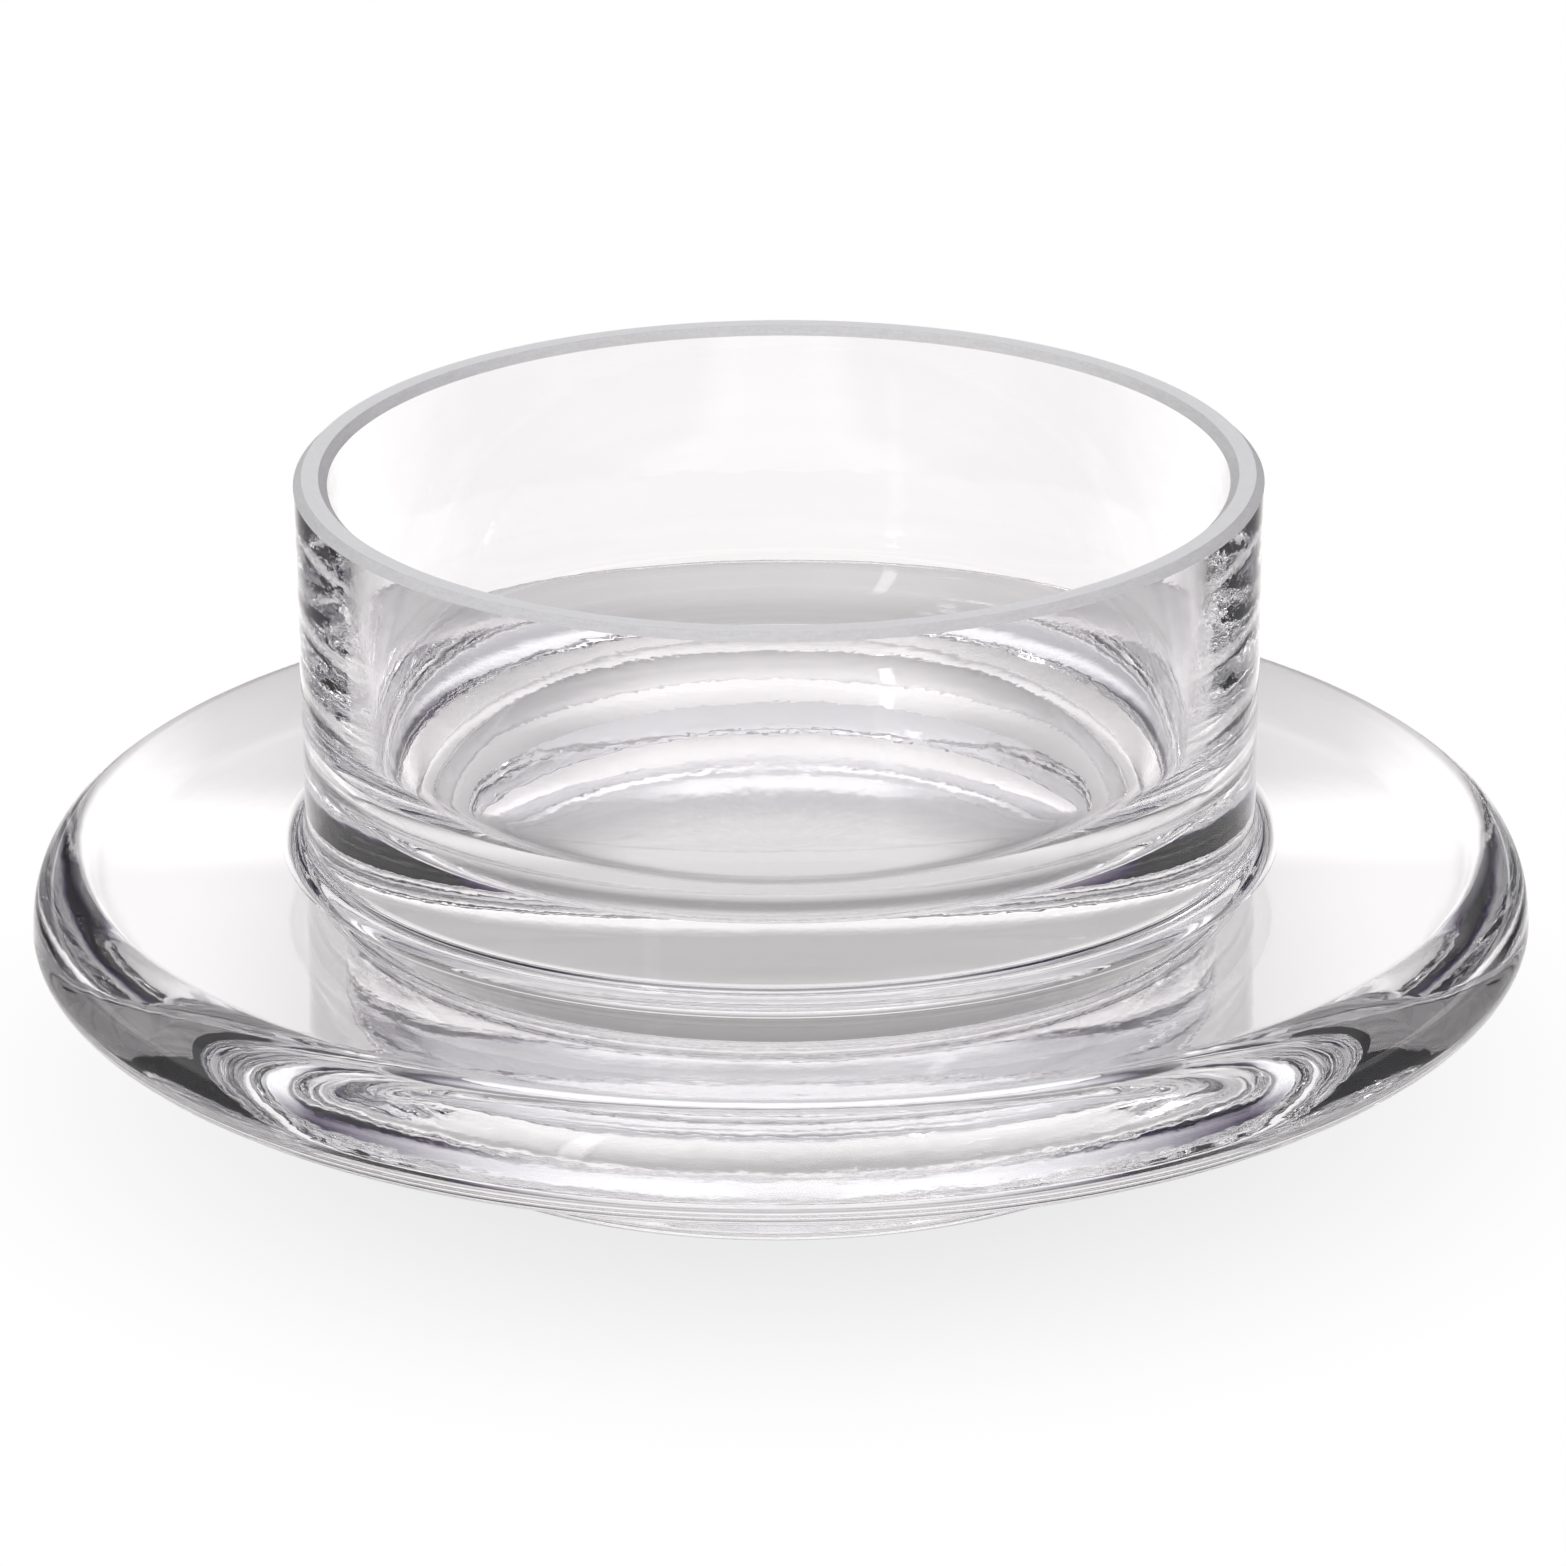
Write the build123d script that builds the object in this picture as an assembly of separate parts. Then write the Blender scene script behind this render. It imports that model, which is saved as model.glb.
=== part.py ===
from build123d import *
import math
import os

# A low cylindrical dish of thick clear glass on a broad round-edged glass saucer, which stands
# on a short round foot.  Dish, saucer and foot are stacked face to face, with a thin collar of
# glass between dish and saucer.  Every piece is a solid of revolution about Z, in millimetres.
# The origin is the centre of the foot's ground face, with +Z up.

# ---- foot ---------------------------------------------------------------------------------
foot_radius = 45.8            # outside of the foot
foot_height = 13.7            # ground face to the underside of the saucer
foot_edge_round = 1.2         # rounded lower edge
foot_flare = 3.0              # concave flare into the underside of the saucer
ground_ring_width = 5.0       # flat ring that touches the table
punt_depth = 4.0              # shallow dome hollowed into the underside

# ---- saucer -------------------------------------------------------------------------------
saucer_radius = 78.3          # widest point of the rounded edge
saucer_upper_height = 8.4     # from the widest point up to the flat top
saucer_upper_reach = 6.0      # how far in from the edge the upper rounding starts
saucer_lower_height = 5.2     # from the underside up to the widest point
saucer_lower_reach = 10.0     # how far in from the edge the lower rounding starts

# ---- collar between dish and saucer -------------------------------------------------------
collar_flare = 2.5            # concave flare from the dish's wall out onto the saucer
lip = 0.12                    # blunt thickness where a flare runs out

# ---- dish ---------------------------------------------------------------------------------
dish_radius = 50.0            # outside of the wall at the rim
dish_draft = 0.4              # the wall is this much narrower at its foot
dish_height = 37.1            # underside of the dish to the rim
wall_thickness = 3.5          # at the rim
inside_draft = 5.5            # degrees; the wall thickens downwards on the inside
floor_thickness = 2.5
inner_corner_radius = 12.0    # inside, floor to wall
rim_outer_bevel = 0.85
rim_inner_bevel = 0.90

# ---- what follows from those sizes --------------------------------------------------------
saucer_bottom = foot_height
saucer_widest = saucer_bottom + saucer_lower_height
saucer_top = saucer_widest + saucer_upper_height
collar_height = collar_flare + lip
dish_bottom = saucer_top + collar_height
rim_height = dish_bottom + dish_height
floor_top = dish_bottom + floor_thickness
dish_foot_radius = dish_radius - dish_draft
inside_radius = dish_radius - wall_thickness
inside_slope = math.radians(inside_draft)
corner_top = floor_top + inner_corner_radius * (1 - math.sin(inside_slope))
wall_narrowing = (rim_height - rim_inner_bevel - corner_top) * math.tan(inside_slope)
corner_top_radius = inside_radius - wall_narrowing
corner_centre_radius = corner_top_radius - inner_corner_radius * math.cos(inside_slope)
punt_radius = foot_radius - ground_ring_width


def arc_point(centre, radius, degrees):
    """The point of a circle at an angle, in the half plane of the profiles."""
    angle = math.radians(degrees)
    return (centre[0] + radius * math.cos(angle), centre[1] + radius * math.sin(angle))


def arc_between(centre, radius, first, last):
    """An arc about a centre that runs from one angle to another, in degrees."""
    middle = (first + last) / 2
    return ThreePointArc(*(arc_point(centre, radius, a) for a in (first, middle, last)))


def turned(draw_profile):
    """Turn a closed half profile, drawn right of the axis with Z upwards, once round Z."""
    with BuildPart() as body:
        with BuildSketch(Plane.XZ):
            with BuildLine():
                draw_profile()
            make_face()
        revolve(axis=Axis.Z)
    return body.part


def foot_profile():
    """Ground ring, rounded lower edge, upright side, flare, and the dome of the punt."""
    dome_radius = (punt_radius**2 + punt_depth**2) / (2 * punt_depth)
    half_way = punt_radius / 2
    dome_middle = math.sqrt(dome_radius**2 - half_way**2) - dome_radius + punt_depth
    edge_centre = (foot_radius - foot_edge_round, foot_edge_round)
    flare_centre = (foot_radius + foot_flare, foot_height - lip - foot_flare)
    Polyline((0, punt_depth), (0, foot_height), (foot_radius + foot_flare, foot_height),
             (foot_radius + foot_flare, foot_height - lip))
    arc_between(flare_centre, foot_flare, 90, 180)
    Line((foot_radius, flare_centre[1]), (foot_radius, foot_edge_round))
    arc_between(edge_centre, foot_edge_round, 0, -90)
    Line((edge_centre[0], 0), (punt_radius, 0))
    ThreePointArc((punt_radius, 0), (half_way, dome_middle), (0, punt_depth))


def saucer_profile():
    """Flat underside and top joined by an edge of two quarter ellipses."""
    upper_centre = (saucer_radius - saucer_upper_reach, saucer_widest)
    lower_centre = (saucer_radius - saucer_lower_reach, saucer_widest)
    EllipticalCenterArc(lower_centre, saucer_lower_reach, saucer_lower_height,
                        start_angle=270, arc_size=90)
    EllipticalCenterArc(upper_centre, saucer_upper_reach, saucer_upper_height,
                        start_angle=0, arc_size=90)
    Polyline((upper_centre[0], saucer_top), (0, saucer_top), (0, saucer_bottom),
             (lower_centre[0], saucer_bottom))


def collar_profile():
    """A thin disc under the dish whose side flares out onto the saucer."""
    flare_centre = (dish_foot_radius + collar_flare, dish_bottom)
    Polyline((dish_foot_radius, dish_bottom), (0, dish_bottom), (0, saucer_top),
             (flare_centre[0], saucer_top), (flare_centre[0], saucer_top + lip))
    arc_between(flare_centre, collar_flare, 270, 180)


def dish_profile():
    """Thick floor, large inner corner, drafted wall and a ground rim with two bevels."""
    corner_centre = (corner_centre_radius, floor_top + inner_corner_radius)
    Polyline((corner_centre_radius, floor_top), (0, floor_top), (0, dish_bottom),
             (dish_foot_radius, dish_bottom),
             (dish_radius, rim_height - rim_outer_bevel),
             (dish_radius - rim_outer_bevel, rim_height),
             (inside_radius + rim_inner_bevel, rim_height),
             (inside_radius, rim_height - rim_inner_bevel),
             (corner_top_radius, corner_top))
    arc_between(corner_centre, inner_corner_radius, -inside_draft, -90)


os.makedirs("parts", exist_ok=True)
for node, profile in (("foot", foot_profile), ("saucer", saucer_profile),
                      ("joint_collar", collar_profile), ("dish", dish_profile)):
    export_step(turned(profile), f"parts/{node}.step")
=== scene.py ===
"""The looks of a footed glass dish.

A low dish of thick clear glass stands on a broad round-edged saucer with a short round foot.
The pieces are surfaces turned about Z and joined face to face. Sizes are in millimetres and
degrees until a mesh is made, and every mesh is in metres in the frame of the CAD model.
"""

import logging
import math
from dataclasses import dataclass, field
from enum import Enum

import bpy
import numpy as np
from mathutils import Matrix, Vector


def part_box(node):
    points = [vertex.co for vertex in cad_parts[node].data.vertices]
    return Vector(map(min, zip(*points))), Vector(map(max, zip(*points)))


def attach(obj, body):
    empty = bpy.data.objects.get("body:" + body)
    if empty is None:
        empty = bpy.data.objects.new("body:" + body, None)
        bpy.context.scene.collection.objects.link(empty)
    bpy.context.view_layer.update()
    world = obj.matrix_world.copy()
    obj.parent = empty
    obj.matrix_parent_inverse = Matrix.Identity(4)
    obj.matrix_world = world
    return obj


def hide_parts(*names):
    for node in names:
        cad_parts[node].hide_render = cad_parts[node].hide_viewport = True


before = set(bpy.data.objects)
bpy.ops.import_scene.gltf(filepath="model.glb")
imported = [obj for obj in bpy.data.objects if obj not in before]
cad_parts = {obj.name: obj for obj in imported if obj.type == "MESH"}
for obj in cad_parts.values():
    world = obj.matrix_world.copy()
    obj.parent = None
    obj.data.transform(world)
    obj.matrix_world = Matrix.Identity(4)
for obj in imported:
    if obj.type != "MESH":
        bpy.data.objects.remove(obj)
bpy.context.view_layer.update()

MM = 0.001                      # metres in a millimetre
AROUND = 480                    # facets round a turned surface
EASE = 1.5                      # millimetres over which a swell fades out at a stretch's ends
NEAR_AXIS = 1e-4                # metres; closer than this counts as this far from the axis
NO_LENGTH = 1e-12               # keeps a direction of no length from dividing by zero
WHITE = (1.0, 1.0, 1.0)
SHADE = (1.0, 1.03, 0.95)       # what a dark screen takes away: most of green, least of blue

log = logging.getLogger("glass_dish")


class Face(Enum):
    """The finishes that a stretch of a turned surface can have, in slot order."""

    POLISHED = 0                # clear, fire-polished glass
    JOINED = 1                  # where two pieces are one glass: nothing shows
    GROUND = 2                  # satin bevel left by the grinding wheel
    FLAT = 3                    # the rim's flat: the ground finish painted whiter, as painted light on the face that looks up


# ---- profiles -----------------------------------------------------------------------------

@dataclass(frozen=True)
class Stretch:
    """A stretch of a half profile, from its first point to its last.

    Attributes:
        points: Rows of radius and height, in millimetres.
        face: The finish of the surface that the stretch turns out.
        swell: How deep the slow waves of the hand-worked surface are, in millimetres.
        crisp: True if the stretch starts at a corner, False if it runs on smoothly.
    """

    points: np.ndarray
    face: Face = Face.POLISHED
    swell: float = 0.0
    crisp: bool = True


def straight(first: tuple[float, float], last: tuple[float, float], steps: int = 1) -> np.ndarray:
    """Points along a line: first + t (last - first), with t from 0 to 1.

    Args:
        first: Radius and height of the start.
        last: Radius and height of the end.
        steps: How many equal steps the line has.

    Returns:
        The points as rows of radius and height.
    """
    share = np.linspace(0.0, 1.0, steps + 1)[:, None]
    return np.array(first) + share * (np.array(last) - np.array(first))


def rounded(centre: tuple[float, float], reach: tuple[float, float], turn: tuple[float, float],
            steps: int) -> np.ndarray:
    """Points on an ellipse: centre + (reach_r cos a, reach_z sin a), with a between two angles.

    Args:
        centre: Radius and height of the ellipse's centre.
        reach: Its half widths along the radius and along the height.
        turn: The first and the last angle, in degrees.
        steps: How many equal steps of angle the arc has.

    Returns:
        The points as rows of radius and height.
    """
    angle = np.radians(np.linspace(turn[0], turn[1], steps + 1))
    return np.column_stack((centre[0] + reach[0] * np.cos(angle),
                            centre[1] + reach[1] * np.sin(angle)))


@dataclass(frozen=True)
class Waves:
    """The slow unevenness of glass that was turned and polished by hand.

    Attributes:
        turns: How many waves each part of the pattern has round the piece.
        drift: How far each part's phase moves along the profile, in radians a millimetre.
        start: The phase that each part starts with, in radians.
        fall: How fast the parts get shallower as their waves get shorter.
    """

    turns: tuple[int, ...] = (3, 7, 12, 19, 31, 47, 73)
    drift: tuple[float, ...] = (0.10, -0.23, 0.31, 0.52, -0.71, 1.05, -1.50)
    start: tuple[float, ...] = (0.4, 2.1, 5.0, 1.2, 3.9, 0.7, 2.8)
    fall: float = 0.55

    def depth(self, along: np.ndarray, angle: np.ndarray) -> np.ndarray:
        """How far the surface lies under the true one, as a share of the swell.

        The sum over the parts of weight * sin(turns * angle + drift * along + start), moved
        and scaled so that it runs from 0, on the true surface, to 1.

        Args:
            along: Distance along the profile in millimetres, one for each row of the grid.
            angle: Angle round the axis in radians, one for each column of the grid.

        Returns:
            A grid of shares with a row for each point of the profile.
        """
        turns, drift, start = (np.array(v, float)[:, None, None]
                               for v in (self.turns, self.drift, self.start))
        weight = (turns / turns[0]) ** -self.fall
        parts = weight * np.sin(turns * angle[None, None, :] + drift * along[None, :, None] + start)
        return 0.5 + 0.5 * parts.sum(axis=0) / weight.sum()


def inward(points: np.ndarray) -> np.ndarray:
    """Unit normals of a profile that point into the glass.

    The profile runs with the glass on its left, so the normal is its direction (dr, dz)
    turned a quarter to the left: (-dz, dr).

    Args:
        points: Rows of radius and height.

    Returns:
        One normal for each point, as rows of radius and height.
    """
    step = np.gradient(points, axis=0)
    normal = np.column_stack((-step[:, 1], step[:, 0]))
    return normal / np.maximum(np.linalg.norm(normal, axis=1, keepdims=True), NO_LENGTH)


def swollen(stretch: Stretch, waves: Waves, angle: np.ndarray) -> np.ndarray:
    """The rings that a stretch turns out, each still in its own half plane.

    A point moves inward by swell * waves.depth * (3 t^2 - 2 t^3), where t runs from 0 at an end
    of the stretch to 1 at EASE millimetres from it, so that neighbours still meet.

    Args:
        stretch: The stretch of the profile.
        waves: The pattern of the swell.
        angle: Angle round the axis in radians, one for each column.

    Returns:
        A grid of radius and height, with a row for each point of the stretch.
    """
    points = stretch.points
    along = np.concatenate(([0.0], np.cumsum(np.linalg.norm(np.diff(points, axis=0), axis=1))))
    near_end = np.clip(np.minimum(along, along[-1] - along) / EASE, 0.0, 1.0)
    shift = stretch.swell * near_end**2 * (3.0 - 2.0 * near_end)
    move = shift[:, None] * waves.depth(along, angle)
    return points[:, None, :] + move[:, :, None] * inward(points)[:, None, :]


def shell(count: int) -> list[list[int]]:
    """The faces of a closed turned surface: bands of quads, then a fan round each pole.

    Vertex row * AROUND + column lies on ring row, and the two poles come after the last ring.

    Args:
        count: How many rings the surface has.

    Returns:
        The vertex numbers of each face, in the order that faces it outward.
    """
    column = np.arange(AROUND)
    after = (column + 1) % AROUND
    start = np.arange(count - 1)[:, None] * AROUND
    quads = np.stack((start + column, start + after, start + AROUND + after,
                      start + AROUND + column), axis=-1).reshape(-1, 4)
    last = (count - 1) * AROUND
    low_pole, high_pole = count * AROUND, count * AROUND + 1
    under = np.stack((np.full(AROUND, low_pole), after, column), axis=-1)
    over = np.stack((np.full(AROUND, high_pole), last + column, last + after), axis=-1)
    return quads.tolist() + under.tolist() + over.tolist()


def mark_sharp(mesh: bpy.types.Mesh, sharp_row: np.ndarray) -> None:
    """Mark the edges that run round the axis as sharp on the rings that are corners.

    Args:
        mesh: The turned surface.
        sharp_row: True for each ring that is a corner.
    """
    ends = np.empty(len(mesh.edges) * 2, np.int32)
    mesh.edges.foreach_get("vertices", ends)
    row = ends.reshape(-1, 2) // AROUND
    count = len(sharp_row)
    corner = np.append(sharp_row, [False, False])      # the poles are never corners
    sharp = (row[:, 0] == row[:, 1]) & corner[np.minimum(row[:, 0], count)]
    mesh.attributes.new("sharp_edge", "BOOLEAN", "EDGE").data.foreach_set("value", sharp)


def turned(name: str, stretches: list[Stretch], waves: Waves) -> bpy.types.Object:
    """A closed surface of revolution, from a half profile that starts and ends on the axis.

    Point (r, z) of the swollen profile at angle a lies at (r cos a, r sin a, z).

    Args:
        name: The piece's name.
        stretches: The profile from the underside's middle, out, up and back to the axis.
        waves: The pattern of the swell.

    Returns:
        The piece, with no material yet and each face's slot set by its Face.
    """
    angle = np.arange(AROUND) * 2.0 * math.pi / AROUND
    rows, faces, crisp = [], [], []
    for number, stretch in enumerate(stretches):
        keep = slice(1 if number else 0, None)   # a stretch starts where the last one ended
        rows.append(swollen(stretch, waves, angle)[keep])
        faces.append(np.full(len(stretch.points) - 1, stretch.face.value))
        crisp.append(np.arange(len(stretch.points))[keep] == (0 if number else -1))
        if number and stretch.crisp:
            crisp[-2][-1] = True
    grid = np.concatenate(rows)[1:-1]            # the two points on the axis are poles
    face_of_band = np.concatenate(faces)

    radius, height = grid[..., 0], grid[..., 1]
    verts = np.stack((radius * np.cos(angle), radius * np.sin(angle), height), axis=-1)
    low = stretches[0].points[0, 1]
    high = stretches[-1].points[-1, 1]
    verts = np.concatenate((verts.reshape(-1, 3), [[0.0, 0.0, low], [0.0, 0.0, high]])) * MM

    mesh = bpy.data.meshes.new(name)
    mesh.from_pydata(verts, [], shell(len(grid)))
    mesh.update()
    slots = np.concatenate((np.repeat(face_of_band[1:-1], AROUND),
                            np.full(AROUND, face_of_band[0]), np.full(AROUND, face_of_band[-1])))
    mesh.polygons.foreach_set("material_index", slots.astype(np.int32))
    mesh.polygons.foreach_set("use_smooth", np.ones(len(slots), bool))
    mark_sharp(mesh, np.concatenate(crisp)[1:-1])
    piece = bpy.data.objects.new(name, mesh)
    bpy.context.scene.collection.objects.link(piece)
    return piece


# ---- finishes -----------------------------------------------------------------------------

class Nodes:
    """The node tree of a material or the world, with short ways to add a node and wire it."""

    def __init__(self, owner: bpy.types.Material | bpy.types.World) -> None:
        """Start with an empty node tree.

        Args:
            owner: The material or world whose nodes these are.
        """
        self.owner = owner
        self.owner.use_nodes = True
        self.tree = self.owner.node_tree
        self.tree.nodes.clear()

    def add(self, kind: str, inputs: dict | None = None, **settings: object) -> bpy.types.Node:
        """Add a node, fill its sockets and settings, and wire the sockets given as outputs.

        Args:
            kind: The node's type without the ShaderNode in front.
            inputs: Socket name or number to a value, or to the output socket that feeds it.
            **settings: The node's own settings.

        Returns:
            The node.
        """
        node = self.tree.nodes.new("ShaderNode" + kind)
        for key, value in settings.items():
            setattr(node, key, value)
        for key, value in (inputs or {}).items():
            if isinstance(value, bpy.types.NodeSocket):
                self.tree.links.new(value, node.inputs[key])
            else:
                node.inputs[key].default_value = value
        return node

    def math(self, operation: str, *values: object) -> bpy.types.NodeSocket:
        """Add a Math node over numbers or sockets, and return its output."""
        return self.add("Math", dict(enumerate(values)), operation=operation).outputs[0]

    def ramp(self, value: bpy.types.NodeSocket, start: float, stop: float,
             low: float = 0.0, high: float = 1.0) -> bpy.types.NodeSocket:
        """Ease a value from low, where it is at start, to high, where it is at stop."""
        return self.add("MapRange", {0: value, 1: start, 2: stop, 3: low, 4: high},
                        interpolation_type="SMOOTHSTEP").outputs[0]

    def scaled(self, colour: tuple, level: bpy.types.NodeSocket) -> bpy.types.NodeSocket:
        """A colour made as bright as a level."""
        return self.add("VectorMath", {0: colour, 3: level}, operation="SCALE").outputs[0]

    def either(self, test: bpy.types.NodeSocket, no: object, yes: object) -> bpy.types.NodeSocket:
        """One colour where a test is 0, another where it is 1."""
        return self.add("Mix", {0: test, 6: no, 7: yes}, data_type="RGBA").outputs[2]

    def round_axis(self, across: float, around: float) -> tuple:
        """Coordinates for marks that run round the axis, with no seam.

        The vector is (around x / r, around y / r, across z) and the fourth number across r,
        so a mark is long round the axis and fine across it.

        Args:
            across: How many marks a metre has across.
            around: How many changes a mark has on its way round, roughly.

        Returns:
            The vector's output and the fourth number's output.
        """
        place = self.add("SeparateXYZ", {0: self.add("TexCoord").outputs["Object"]})
        x, y, z = place.outputs
        reach = self.math("SQRT", self.math("ADD", self.math("MULTIPLY", x, x),
                                            self.math("MULTIPLY", y, y)))
        safe = self.math("MAXIMUM", reach, NEAR_AXIS)
        vector = self.add("CombineXYZ", {
            0: self.math("MULTIPLY", self.math("DIVIDE", x, safe), around),
            1: self.math("MULTIPLY", self.math("DIVIDE", y, safe), around),
            2: self.math("MULTIPLY", z, across)})
        return vector.outputs[0], self.math("MULTIPLY", reach, across)

    def noise(self, vector: bpy.types.NodeSocket, fourth: bpy.types.NodeSocket | None = None,
              **inputs: float) -> bpy.types.NodeSocket:
        """Add a Noise Texture.

        Args:
            vector: Where the noise is read.
            fourth: A fourth number that it is read at, if there is one.
            **inputs: The texture's own sockets.

        Returns:
            The output that runs from 0 to 1.
        """
        ends = {"Vector": vector, **inputs}
        if fourth is None:
            return self.add("TexNoise", ends, noise_dimensions="3D").outputs[0]
        return self.add("TexNoise", {**ends, "W": fourth}, noise_dimensions="4D").outputs[0]

    def end(self, shader: bpy.types.NodeSocket, kind: str = "OutputMaterial") -> bpy.types.ID:
        """Wire a shader to an output of a kind and return the tree's owner."""
        self.add(kind, {"Surface": shader})
        return self.owner


@dataclass(frozen=True)
class ClearGlass:
    """Clear, colourless glass with faint cords and polishing marks that run round the piece.

    Attributes:
        ior: Refractive index of soda-lime glass.
        tint: What is left of white light that crosses the surface.
        cord_depth: Height of the faint cords, in metres.
        cords: How many cords a metre has across, and how often one changes on its way round.
        cord_strength: How strongly the cords bend the light.
        haze: Most roughness that handling and the polishing felt leave.
        breath: Size of the hazy patches, as patches to a metre.
        hazy: Noise at which the haze begins and at which it is full.
        veil: Share of the light that fine dust and hair scratches scatter.
    """

    ior: float = 1.5
    tint: tuple[float, float, float] = (0.991, 0.984, 0.994)
    cord_depth: float = 0.00002
    cords: tuple[float, float] = (420.0, 9.0)
    cord_strength: float = 0.5
    haze: float = 0.012
    breath: float = 55.0
    hazy: tuple[float, float] = (0.5, 0.75)
    veil: float = 0.012

    def material(self, name: str) -> bpy.types.Material:
        """Make the glass: cords as bump, and a breath of haze in the roughness.

        Args:
            name: The material's name.

        Returns:
            The material.
        """
        nodes = Nodes(bpy.data.materials.new(name))
        vector, fourth = nodes.round_axis(*self.cords)
        cords = nodes.noise(vector, fourth, Scale=1.0, Detail=3.0, Roughness=0.55)
        bump = nodes.add("Bump", {"Height": cords, "Strength": self.cord_strength,
                                  "Distance": self.cord_depth})
        breath = nodes.noise(nodes.add("TexCoord").outputs["Object"], Scale=self.breath,
                             Detail=4.0)
        haze = nodes.add("MapRange", {0: breath, 1: self.hazy[0], 2: self.hazy[1], 3: 0.0,
                                      4: self.haze})
        glass = nodes.add("BsdfPrincipled", {
            "Base Color": (*self.tint, 1.0), "Transmission Weight": 1.0 - self.veil,
            "IOR": self.ior, "Roughness": haze.outputs[0], "Normal": bump.outputs[0]})
        return nodes.end(glass.outputs[0])


@dataclass(frozen=True)
class GroundGlass:
    """Glass as the grinding wheel leaves it: a white, frosted satin with fine scratches.

    Attributes:
        light: Colour where the frosting is thickest.
        shade: Colour where it is worn clearer.
        through: Share of the light that goes through instead of back.
        ior: Refractive index.
        grain: Grains to a metre.
        scratches: How many scratches a metre has across, and how often one changes round.
        wear: Thickness of frosting at which it is all shade and at which it is all light.
        frosting: Thickness of frosting over which the roughness changes.
        rough: Roughness at both ends of that.
        relief: Height of grain and scratches, in metres.
        relief_strength: How strongly they bend the light.
    """

    light: tuple[float, float, float] = (0.95, 0.945, 0.945)
    shade: tuple[float, float, float] = (0.84, 0.835, 0.83)
    through: float = 0.20
    ior: float = 1.5
    grain: float = 2600.0
    scratches: tuple[float, float] = (3200.0, 30.0)
    wear: tuple[float, float] = (0.36, 0.62)
    frosting: tuple[float, float] = (0.3, 0.7)
    rough: tuple[float, float] = (0.42, 0.62)
    relief: float = 0.00005
    relief_strength: float = 0.35

    def material(self, name: str) -> bpy.types.Material:
        """Make the frosting: grain in its colour, roughness and bump, and scratches round it.

        Its thickness is half grain and half scratches.

        Args:
            name: The material's name.

        Returns:
            The material.
        """
        nodes = Nodes(bpy.data.materials.new(name))
        place = nodes.add("TexCoord").outputs["Object"]
        grain = nodes.noise(place, Scale=self.grain, Detail=3.0, Roughness=0.6)
        vector, fourth = nodes.round_axis(*self.scratches)
        scratch = nodes.noise(vector, fourth, Scale=1.0, Detail=2.0)
        mix = nodes.math("MULTIPLY_ADD", scratch, 0.5, nodes.math("MULTIPLY", grain, 0.5))
        ramp = nodes.add("ValToRGB", {0: mix})
        for stop, place_on_ramp, colour in zip(ramp.color_ramp.elements, self.wear,
                                               (self.shade, self.light)):
            stop.position = place_on_ramp
            stop.color = (*colour, 1.0)
        rough = nodes.add("MapRange", dict(enumerate((mix, *self.frosting, *self.rough))))
        bump = nodes.add("Bump", {"Height": mix, "Strength": self.relief_strength,
                                  "Distance": self.relief})
        satin = nodes.add("BsdfPrincipled", {
            "Base Color": ramp.outputs[0], "Transmission Weight": self.through,
            "IOR": self.ior, "Roughness": rough.outputs[0], "Normal": bump.outputs[0]})
        return nodes.end(satin.outputs[0])


@dataclass(frozen=True)
class JoinedFace:
    """A face inside the glass, where two pieces are fused: light goes straight on."""

    def material(self, name: str) -> bpy.types.Material:
        """Make a face that doesn't show."""
        nodes = Nodes(bpy.data.materials.new(name))
        return nodes.end(nodes.add("BsdfTransparent").outputs[0])


@dataclass(frozen=True)
class Finishes:
    """The finishes of one piece, in the order of Face."""

    polished: ClearGlass = ClearGlass()
    joined: JoinedFace = JoinedFace()
    ground: GroundGlass = GroundGlass()
    # painted light: a lit copy of the ground finish, whiter and letting no light through
    flat: GroundGlass = GroundGlass(light=WHITE, shade=(0.94, 0.94, 0.94), through=0.0)

    def dress(self, piece: bpy.types.Object) -> None:
        """Fill a piece's material slots, one for each Face.

        Args:
            piece: The piece, whose faces already have their slots' numbers.
        """
        for face in Face:
            word = face.name.lower()
            piece.data.materials.append(getattr(self, word).material(f"{piece.name}_{word}"))


# ---- the pieces ---------------------------------------------------------------------------

def reach_of(node: str) -> tuple[float, float, float]:
    """A turned CAD node's outer radius, lowest and highest point, in millimetres."""
    low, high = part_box(node)
    return (high.x - low.x) / 2 / MM, low.z / MM, high.z / MM


@dataclass
class TurnedPiece:
    """A piece of turned glass that stands for one CAD node.

    Attributes:
        node: The CAD node that the piece replaces.
        slot: The record's material slot; not used.
        waves: The pattern of the surface's slow swell.
        finishes: What its faces look like.
    """

    node: str
    slot: str
    waves: Waves = field(default_factory=Waves)
    finishes: Finishes = field(default_factory=Finishes)

    def profile(self) -> list[Stretch]:
        """The half profile, from the underside's middle round to the top's middle."""
        raise NotImplementedError

    def build(self) -> bpy.types.Object:
        """Turn the profile, dress it, and put it in the CAD node's place.

        Returns:
            The finished piece.
        """
        piece = turned(self.node + "_glass", self.profile(), self.waves)
        self.finishes.dress(piece)
        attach(piece, "root")
        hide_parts(self.node)
        return piece


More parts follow.
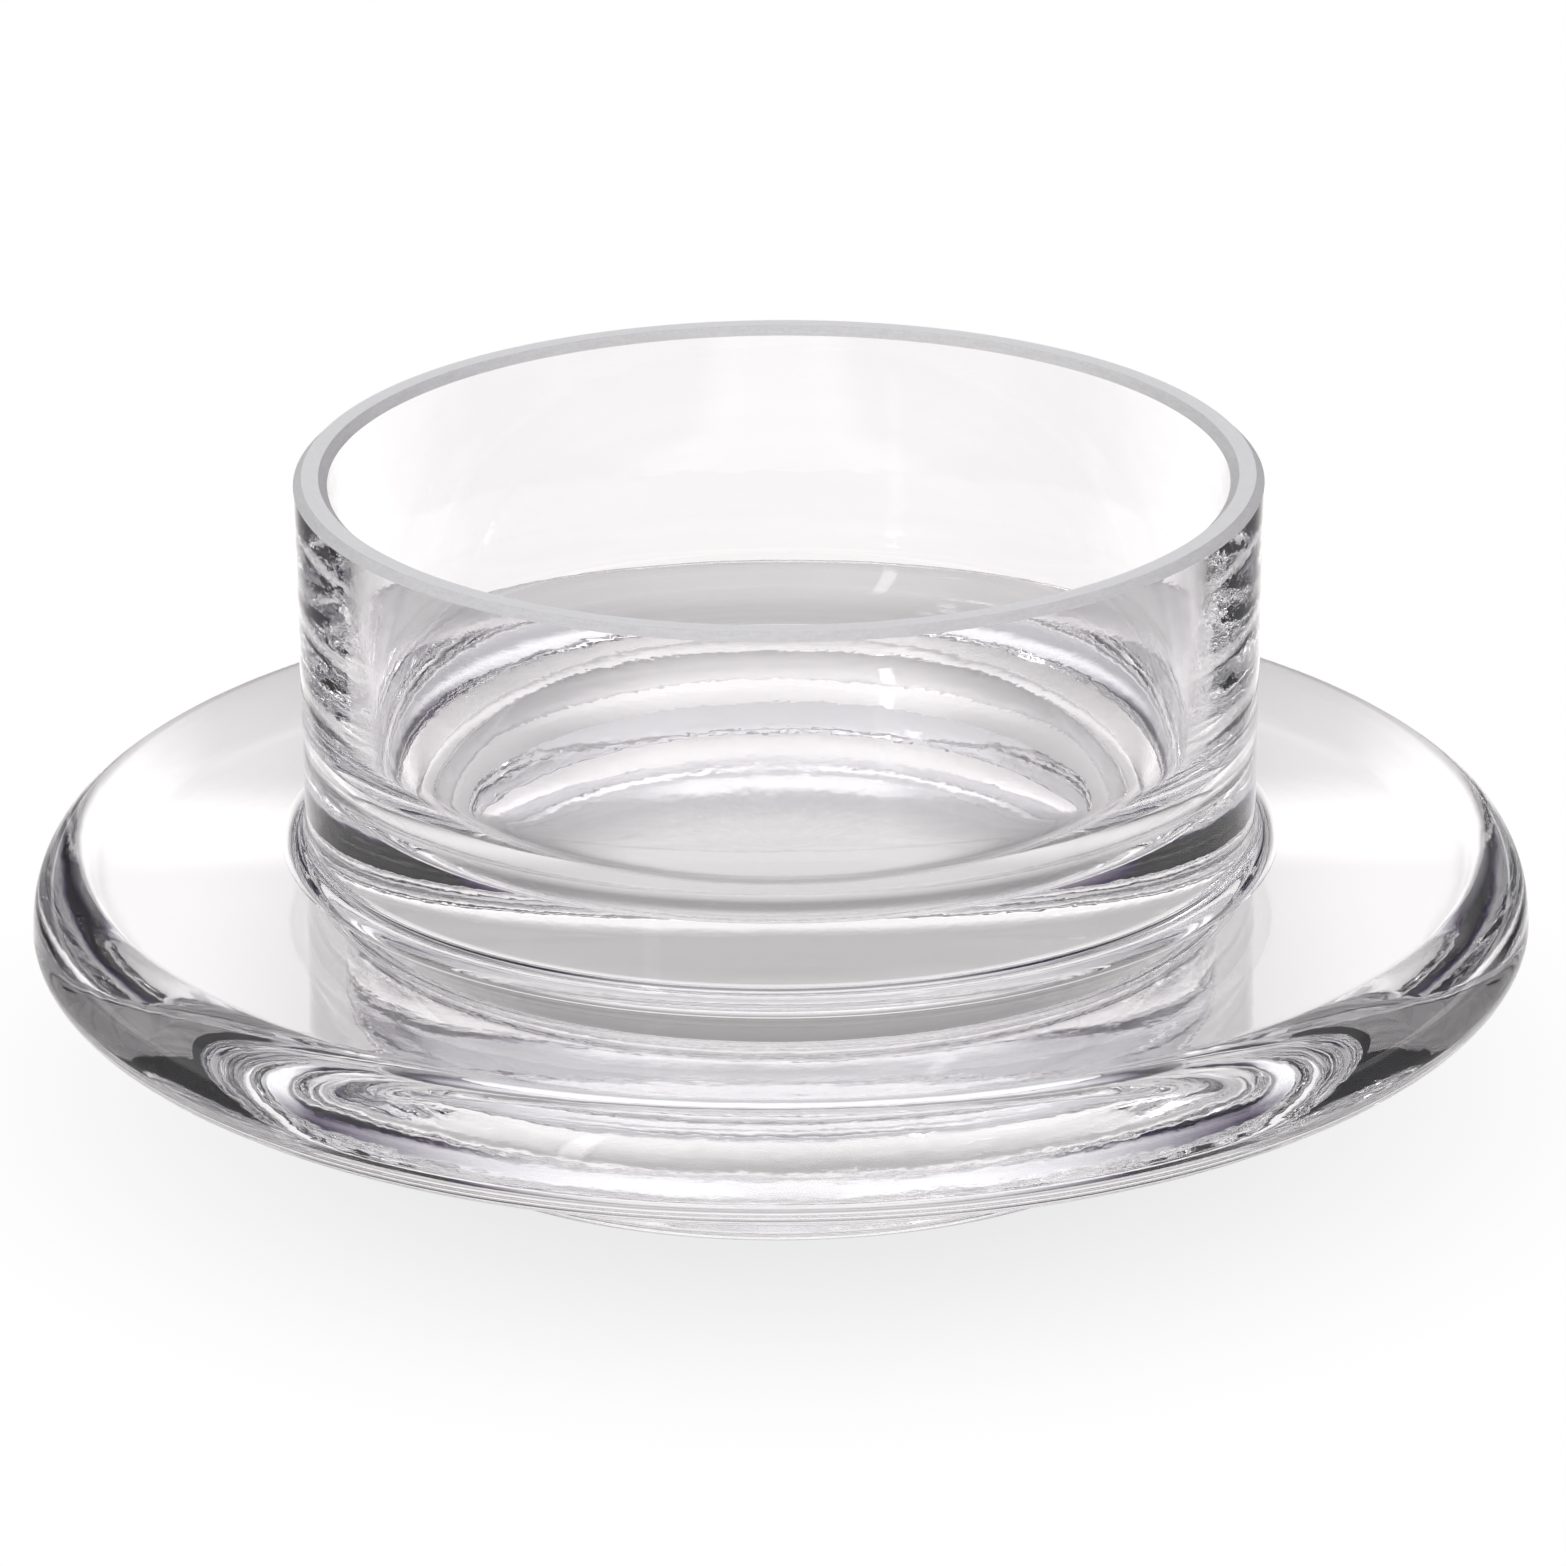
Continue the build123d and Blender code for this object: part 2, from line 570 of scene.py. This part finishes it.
@dataclass
class Dish(TurnedPiece):
    """The dish: thick floor, large inner corner, upright wall, ground and bevelled rim.

    The wall is upright outside and leans inside by inner_draft, so it thickens downwards. The
    corner's arc, of radius R about (c, floor + R), meets the leaning wall where both have the
    same direction: at (c + R cos draft, floor + R - R sin draft).
    """

    node: str = "dish"
    slot: str = "dish_glass"
    draft: float = 0.4            # the wall's foot is this much narrower than its top
    wall: float = 3.5             # at the rim
    inner_draft: float = 5.5      # degrees
    floor: float = 2.5
    corner: float = 12.0          # radius between floor and wall, inside
    outer_bevel: float = 0.85
    inner_bevel: float = 0.90
    wall_swell: float = 0.004
    corner_swell: float = 0.015

    def profile(self) -> list[Stretch]:
        """Joined underside, wall, ground rim, wall inside, corner and floor.

        Returns:
            The stretches of the half profile.
        """
        radius, low, high = reach_of(self.node)
        inside, floor = radius - self.wall, low + self.floor
        bevel_out, bevel_in = high - self.outer_bevel, high - self.inner_bevel
        lean = math.radians(self.inner_draft)
        corner_top = floor + self.corner * (1 - math.sin(lean))
        corner_reach = inside - (bevel_in - corner_top) * math.tan(lean)
        centre = (corner_reach - self.corner * math.cos(lean), floor + self.corner)
        return [
            Stretch(straight((0, low), (radius - self.draft, low), steps=2), Face.JOINED),
            Stretch(straight((radius - self.draft, low), (radius, bevel_out), steps=72),
                    swell=self.wall_swell),
            Stretch(straight((radius, bevel_out), (radius - self.outer_bevel, high), steps=3),
                    Face.GROUND),
            Stretch(straight((radius - self.outer_bevel, high),
                             (inside + self.inner_bevel, high), steps=3), Face.FLAT),
            Stretch(straight((inside + self.inner_bevel, high), (inside, bevel_in), steps=3),
                    Face.GROUND),
            Stretch(straight((inside, bevel_in), (corner_reach, corner_top), steps=48),
                    swell=self.wall_swell),
            Stretch(rounded(centre, (self.corner, self.corner), (-self.inner_draft, -90),
                            steps=40), swell=self.corner_swell, crisp=False),
            Stretch(straight((centre[0], floor), (0, floor), steps=30), crisp=False),
        ]


@dataclass
class JointCollar(TurnedPiece):
    """The thin layer that joins the dish to the saucer and flares out onto it."""

    node: str = "joint_collar"
    slot: str = "collar_glass"
    lip: float = 0.12             # blunt edge where the flare runs out

    def profile(self) -> list[Stretch]:
        """Joined underside, blunt lip, concave flare and joined top.

        Returns:
            The stretches of the half profile.
        """
        radius, low, high = reach_of(self.node)
        flare = high - low - self.lip
        return [
            Stretch(straight((0, low), (radius, low), steps=2), Face.JOINED),
            Stretch(straight((radius, low), (radius, low + self.lip))),
            Stretch(rounded((radius, high), (flare, flare), (270, 180), steps=24)),
            Stretch(straight((radius - flare, high), (0, high), steps=2), Face.JOINED),
        ]


@dataclass
class Saucer(TurnedPiece):
    """The broad flat saucer, with an edge rounded by two quarter ellipses."""

    node: str = "saucer"
    slot: str = "saucer_glass"
    upper_height: float = 8.4     # from the widest point up to the flat top
    upper_reach: float = 6.0
    lower_height: float = 5.2
    lower_reach: float = 10.0
    edge_swell: float = 0.030
    top_swell: float = 0.012

    def profile(self) -> list[Stretch]:
        """Underside, rounded edge and top; where dish and foot join on, nothing shows.

        Returns:
            The stretches of the half profile.
        """
        radius, low, high = reach_of(self.node)
        widest = low + self.lower_height
        foot, collar = reach_of("foot")[0], reach_of("joint_collar")[0]
        lower = (radius - self.lower_reach, widest)
        upper = (radius - self.upper_reach, widest)
        return [
            Stretch(straight((0, low), (foot, low), steps=2), Face.JOINED),
            Stretch(straight((foot, low), (lower[0], low), steps=24), crisp=False),
            Stretch(rounded(lower, (self.lower_reach, self.lower_height), (-90, 0), steps=48),
                    swell=self.edge_swell, crisp=False),
            Stretch(rounded(upper, (self.upper_reach, self.upper_height), (0, 90), steps=48),
                    swell=self.edge_swell, crisp=False),
            Stretch(straight((upper[0], high), (collar, high), steps=24),
                    swell=self.top_swell, crisp=False),
            Stretch(straight((collar, high), (0, high), steps=2), Face.JOINED, crisp=False),
        ]


@dataclass
class Foot(TurnedPiece):
    """The short round foot: standing ring, shallow dome under it, and a flare at its top."""

    node: str = "foot"
    slot: str = "foot_glass"
    flare: float = 3.0
    lip: float = 0.12
    edge: float = 1.2             # rounding of the lower edge
    ring: float = 5.0             # width of the flat ring that touches the table
    punt: float = 4.0             # depth of the dome
    side_swell: float = 0.015
    dome_swell: float = 0.030

    def profile(self) -> list[Stretch]:
        """Dome, standing ring, rounded edge, side, flare, lip and joined top.

        Returns:
            The stretches of the half profile.
        """
        radius, low, high = reach_of(self.node)
        side = radius - self.flare
        dome = side - self.ring
        bend = (dome**2 + self.punt**2) / (2 * self.punt)
        half = math.degrees(math.asin(dome / bend))
        flare_centre = (radius, high - self.lip - self.flare)
        return [
            Stretch(rounded((0, low + self.punt - bend), (bend, bend), (90, 90 - half),
                            steps=48), swell=self.dome_swell),
            Stretch(straight((dome, low), (side - self.edge, low), steps=4)),
            Stretch(rounded((side - self.edge, low + self.edge), (self.edge, self.edge),
                            (-90, 0), steps=10), crisp=False),
            Stretch(straight((side, low + self.edge), (side, flare_centre[1]), steps=18),
                    swell=self.side_swell, crisp=False),
            Stretch(rounded(flare_centre, (self.flare, self.flare), (180, 90), steps=20),
                    crisp=False),
            Stretch(straight((radius, high - self.lip), (radius, high))),
            Stretch(straight((radius, high), (0, high), steps=2), Face.JOINED),
        ]


# ---- the studio ---------------------------------------------------------------------------

@dataclass(frozen=True)
class SoftLight:
    """A soft patch of light, or of shade, in the surroundings.

    Attributes:
        azimuth: Its middle, in degrees counter-clockwise from +X.
        height: Its middle, in degrees above the floor.
        width: Half its width, in degrees, to where it has faded out.
        depth: Half its height, in degrees, to where it has faded out.
        fade: Share of the half sizes over which it fades.
        level: What it adds to the surroundings; below 0 it is a dark screen.
        colour: Its tint.
    """

    azimuth: float
    height: float
    width: float
    depth: float
    level: float
    fade: float = 0.5
    colour: tuple[float, float, float] = WHITE


class Along(Enum):
    """Where a step on the table is measured: out from the axis, to a side, back or front."""

    REACH = 0
    ACROSS = 1
    BACK = 2
    FRONT = 3


@dataclass(frozen=True)
class Step:
    """A soft change of the table's painted brightness, from start to stop, in metres."""

    along: Along
    start: float
    stop: float
    change: float


@dataclass(frozen=True)
class Table:
    """How bright the table looks from inside the glass.

    The camera sees the table plain white, but for a painted contact shadow near the object.
    Rays that come through glass or off it see painted shade near the object and in a band to its
    right and left, and painted light at the back and the front, as if lamps stood there.

    Attributes:
        under: Level at the axis, a painted shade under the object.
        steps: What is added further out, painted shade or light; each adds its change past its
            stop.
        edge: How far to the right and left the light begins and ends to fade.
        beyond: How far it begins and ends to come back.
        painted_side_shade: Painted shade between: share of the light taken away, for red, green,
            blue.
        painted_contact_shadow: Level that the camera sees under the object, a painted contact
            shadow.
        painted_contact_shadow_edge: Where that begins and ends to turn into the plain white, from
            the axis.
        tint: Colour of the table.
    """

    under: float = 0.70
    steps: tuple[Step, ...] = (
        # painted shade where a change is below 0, painted light where it is above 0
        Step(Along.REACH, 0.016, 0.031, -0.38),
        Step(Along.REACH, 0.035, 0.046, 0.36),
        Step(Along.BACK, 0.032, 0.044, 0.34),
        Step(Along.BACK, 0.044, 0.064, -0.50),
        Step(Along.BACK, 0.070, 0.116, 0.48),
        Step(Along.ACROSS, 0.040, 0.068, 0.27),
        Step(Along.ACROSS, 0.070, 0.124, -0.70),
        Step(Along.ACROSS, 0.220, 0.420, 0.52),
        Step(Along.FRONT, 0.080, 0.140, 0.80),
    )
    edge: tuple[float, float] = (0.100, 0.140)
    beyond: tuple[float, float] = (0.220, 0.420)
    painted_side_shade: tuple[float, float, float] = (0.62, 0.62, 0.59)
    painted_contact_shadow: float = 0.80
    painted_contact_shadow_edge: tuple[float, float] = (0.03, 0.10)
    tint: tuple[float, float, float] = (1.0, 0.980, 0.975)

    def material(self, name: str) -> bpy.types.Material:
        """Make the table's painted light and shade: under plus each step, less the painted side
        shade.

        Args:
            name: The material's name.

        Returns:
            The material.
        """
        nodes = Nodes(bpy.data.materials.new(name))
        x, y, _ = nodes.add("SeparateXYZ", {0: nodes.add("TexCoord").outputs["Object"]}).outputs
        reach = nodes.math("SQRT", nodes.math("ADD", nodes.math("MULTIPLY", x, x),
                                              nodes.math("MULTIPLY", y, y)))
        across = nodes.math("ABSOLUTE", x)
        measure = {Along.REACH: reach, Along.ACROSS: across, Along.BACK: y,
                   Along.FRONT: nodes.math("MULTIPLY", y, -1.0)}
        level = self.under
        for step in self.steps:
            level = nodes.math("ADD", level, nodes.ramp(measure[step.along], step.start, step.stop,
                                                        0.0, step.change))
        # painted shade in a band to the object's right and left
        shade = nodes.math("MULTIPLY", nodes.ramp(across, *self.edge),
                           nodes.ramp(across, *self.beyond, 1.0, 0.0))
        lost = nodes.scaled(self.painted_side_shade, shade)
        kept = nodes.add("VectorMath", {0: WHITE, 1: lost}, operation="SUBTRACT").outputs[0]
        # painted light and shade that rays through glass or off it see
        painted_table_light = nodes.add("VectorMath", {0: nodes.scaled(self.tint, level), 1: kept},
                         operation="MULTIPLY").outputs[0]
        # painted contact shadow that the camera sees near the object
        plain = nodes.scaled(WHITE, nodes.ramp(reach, *self.painted_contact_shadow_edge, self.painted_contact_shadow, 1.0))
        seen = nodes.add("LightPath").outputs["Is Camera Ray"]
        light = nodes.add("Emission", {"Color": nodes.either(seen, painted_table_light, plain)})
        material = nodes.end(light.outputs[0])
        material.cycles.emission_sampling = "NONE"
        return material


@dataclass(frozen=True)
class Viewpoint:
    """The camera: a long lens, about a metre off and 23 degrees up, in front of the object.

    Attributes:
        distance: From the origin, in metres.
        rise: Above the floor, in degrees.
        yaw: How far it looks to the right of +Y, in degrees.
        pitch: How far it looks down, in degrees.
        roll: How far it leans, in degrees.
        lens: Focal length, in millimetres.
        sensor: Width of the sensor, in millimetres.
        nearest: Where the camera begins to see, in metres.
    """

    distance: float = 0.905
    rise: float = 22.981
    yaw: float = 0.0198
    pitch: float = 21.0783
    roll: float = -0.2817
    lens: float = 196.5
    sensor: float = 36.0
    nearest: float = 0.01

    def matrix(self) -> Matrix:
        """Where the camera stands and how it is turned.

        It looks along (sin yaw cos pitch, cos yaw cos pitch, -sin pitch), and roll turns its
        right and up about that direction.

        Returns:
            The camera's place in the world.
        """
        rise, yaw, pitch, roll = (math.radians(a) for a in (self.rise, self.yaw, self.pitch,
                                                            self.roll))
        place = np.array([0.0, -self.distance * math.cos(rise), self.distance * math.sin(rise)])
        ahead = np.array([math.sin(yaw) * math.cos(pitch), math.cos(yaw) * math.cos(pitch),
                          -math.sin(pitch)])
        level = np.cross(ahead, (0.0, 0.0, 1.0))
        level /= np.linalg.norm(level)
        upright = np.cross(level, ahead)
        right = level * math.cos(roll) + upright * math.sin(roll)
        up = upright * math.cos(roll) - level * math.sin(roll)
        matrix = np.eye(4)
        matrix[:3] = np.column_stack((right, up, -ahead, place))
        return Matrix(matrix.tolist())

    def build(self) -> bpy.types.Object:
        """Make the camera and look through it.

        Returns:
            The camera.
        """
        data = bpy.data.cameras.new("camera")
        data.sensor_width = self.sensor
        data.lens = self.lens
        data.clip_start = self.nearest
        camera = bpy.data.objects.new("camera", data)
        bpy.context.scene.collection.objects.link(camera)
        camera.matrix_world = self.matrix()
        bpy.context.scene.camera = camera
        return camera


@dataclass
class Studio:
    """A pale floor, soft light and dark screens all round, and the camera.

    The camera sees the backdrop plain, the floor plain but for a painted contact shadow. Rays that
    come through glass or off it see the table's painted light and shade, and the surroundings,
    instead.
    """

    table: Table = Table()
    viewpoint: Viewpoint = Viewpoint()
    floor_half: float = 6.0       # metres
    floor_drop: float = 0.0002    # metres below the foot, so that the faces don't meet
    low_level: float = 0.36       # surroundings at the floor's edge
    high_level: float = 0.86      # and overhead
    tint: tuple[float, float, float] = (0.985, 0.975, 1.0)
    backdrop: float = 1.0
    lights: tuple[SoftLight, ...] = (
        SoftLight(azimuth=90, height=27, width=30, depth=16, level=0.65),
        SoftLight(azimuth=180, height=4, width=32, depth=14, level=0.45),
        SoftLight(azimuth=-120, height=30, width=26, depth=14, level=0.45),
        SoftLight(azimuth=-90, height=48, width=60, depth=20, level=0.40),
        SoftLight(azimuth=-121, height=25, width=2.5, depth=18, level=4.0),
        SoftLight(azimuth=30, height=8, width=50, depth=16, level=-0.26, colour=SHADE),
        SoftLight(azimuth=-30, height=12, width=28, depth=22, level=-0.36, colour=SHADE),
        SoftLight(azimuth=55, height=18, width=28, depth=18, level=-0.46, colour=SHADE),
        SoftLight(azimuth=125, height=18, width=28, depth=18, level=-0.46, colour=SHADE),
        SoftLight(azimuth=-75, height=10, width=24, depth=14, level=-0.25, colour=SHADE),
    )

    def floor(self) -> bpy.types.Object:
        """Make the floor, which the camera sees as plain and pale but for a painted contact shadow.

        Returns:
            The floor, marked as part of the stage.
        """
        mesh = bpy.data.meshes.new("studio_floor")
        corners = np.array([(-1, -1, 0), (1, -1, 0), (1, 1, 0), (-1, 1, 0)], float)
        place = np.array([0.0, 0.0, -self.floor_drop])
        mesh.from_pydata(corners * self.floor_half + place, [], [(0, 1, 2, 3)])
        floor = bpy.data.objects.new("studio_floor", mesh)
        bpy.context.scene.collection.objects.link(floor)
        mesh.materials.append(self.table.material("studio_floor"))
        return floor

    def patch(self, nodes: Nodes, light: SoftLight, azimuth: bpy.types.NodeSocket,
              height: bpy.types.NodeSocket) -> bpy.types.NodeSocket:
        """What one soft light or screen adds, in each direction.

        Its level times how far the direction is inside its width and inside its depth, both
        eased from 0 at the outline to 1 where the fade ends.

        Args:
            nodes: The world's nodes.
            light: The soft light or screen.
            azimuth: The direction's azimuth, in radians.
            height: The direction's height, in radians.

        Returns:
            The colour that it adds.
        """
        turn = nodes.math("ABSOLUTE", nodes.math("WRAP", nodes.math(
            "SUBTRACT", azimuth, math.radians(light.azimuth)), math.pi, -math.pi))
        rise = nodes.math("ABSOLUTE", nodes.math("SUBTRACT", height,
                                                 math.radians(light.height)))
        edges = [nodes.ramp(off, math.radians(half), math.radians(half * (1 - light.fade)))
                 for off, half in ((turn, light.width), (rise, light.depth))]
        share = nodes.math("MULTIPLY", nodes.math("MULTIPLY", *edges), light.level)
        return nodes.scaled(light.colour, share)

    def surroundings(self) -> bpy.types.World:
        """Make the light that depends on its direction only.

        A gradient from low_level at the horizon to high_level overhead, plus each soft light,
        less each dark screen, and never below 0.

        Returns:
            The world.
        """
        world = bpy.data.worlds.new("studio")
        bpy.context.scene.world = world
        nodes = Nodes(world)
        x, y, z = nodes.add("SeparateXYZ", {0: nodes.add("TexCoord").outputs["Generated"]}).outputs
        azimuth = nodes.math("ARCTAN2", y, x)
        height = nodes.math("ARCSINE", nodes.math("MINIMUM", nodes.math("MAXIMUM", z, -1.0), 1.0))
        colour = nodes.scaled(self.tint, nodes.ramp(height, 0.0, math.pi / 2, self.low_level,
                                                    self.high_level))
        for light in self.lights:
            added = self.patch(nodes, light, azimuth, height)
            colour = nodes.add("VectorMath", {0: colour, 1: added}, operation="ADD").outputs[0]
        colour = nodes.add("VectorMath", {0: colour, 1: (0.0, 0.0, 0.0)},
                           operation="MAXIMUM").outputs[0]
        seen = nodes.add("LightPath").outputs["Is Camera Ray"]
        plain = nodes.either(seen, colour, (*(self.backdrop,) * 3, 1.0))
        sky = nodes.add("Background", {"Color": plain, "Strength": 1.0})
        world.cycles.sampling_method = "NONE"
        return nodes.end(sky.outputs[0], "OutputWorld")

    def render_options(self) -> None:
        """Light paths long enough for glass inside glass, and plain colour."""
        scene = bpy.context.scene
        scene.view_settings.view_transform = "Standard"
        scene.cycles.max_bounces = 40
        scene.cycles.transmission_bounces = 40
        scene.cycles.glossy_bounces = 12
        scene.cycles.diffuse_bounces = 3
        scene.cycles.transparent_max_bounces = 24
        scene.cycles.use_denoising = True

    def build(self) -> None:
        """Set up floor, light and camera."""
        self.floor()
        self.surroundings()
        self.viewpoint.build()
        self.render_options()


def main() -> None:
    """Build the pieces from the table up, then the studio, and log each piece's face count."""
    logging.basicConfig(level=logging.INFO, format="%(message)s")
    for kind in (Foot, Saucer, JointCollar, Dish):
        piece = kind().build()
        log.info("%s: %d faces", piece.name, len(piece.data.polygons))
    Studio().build()


if __name__ == "__main__":
    main()
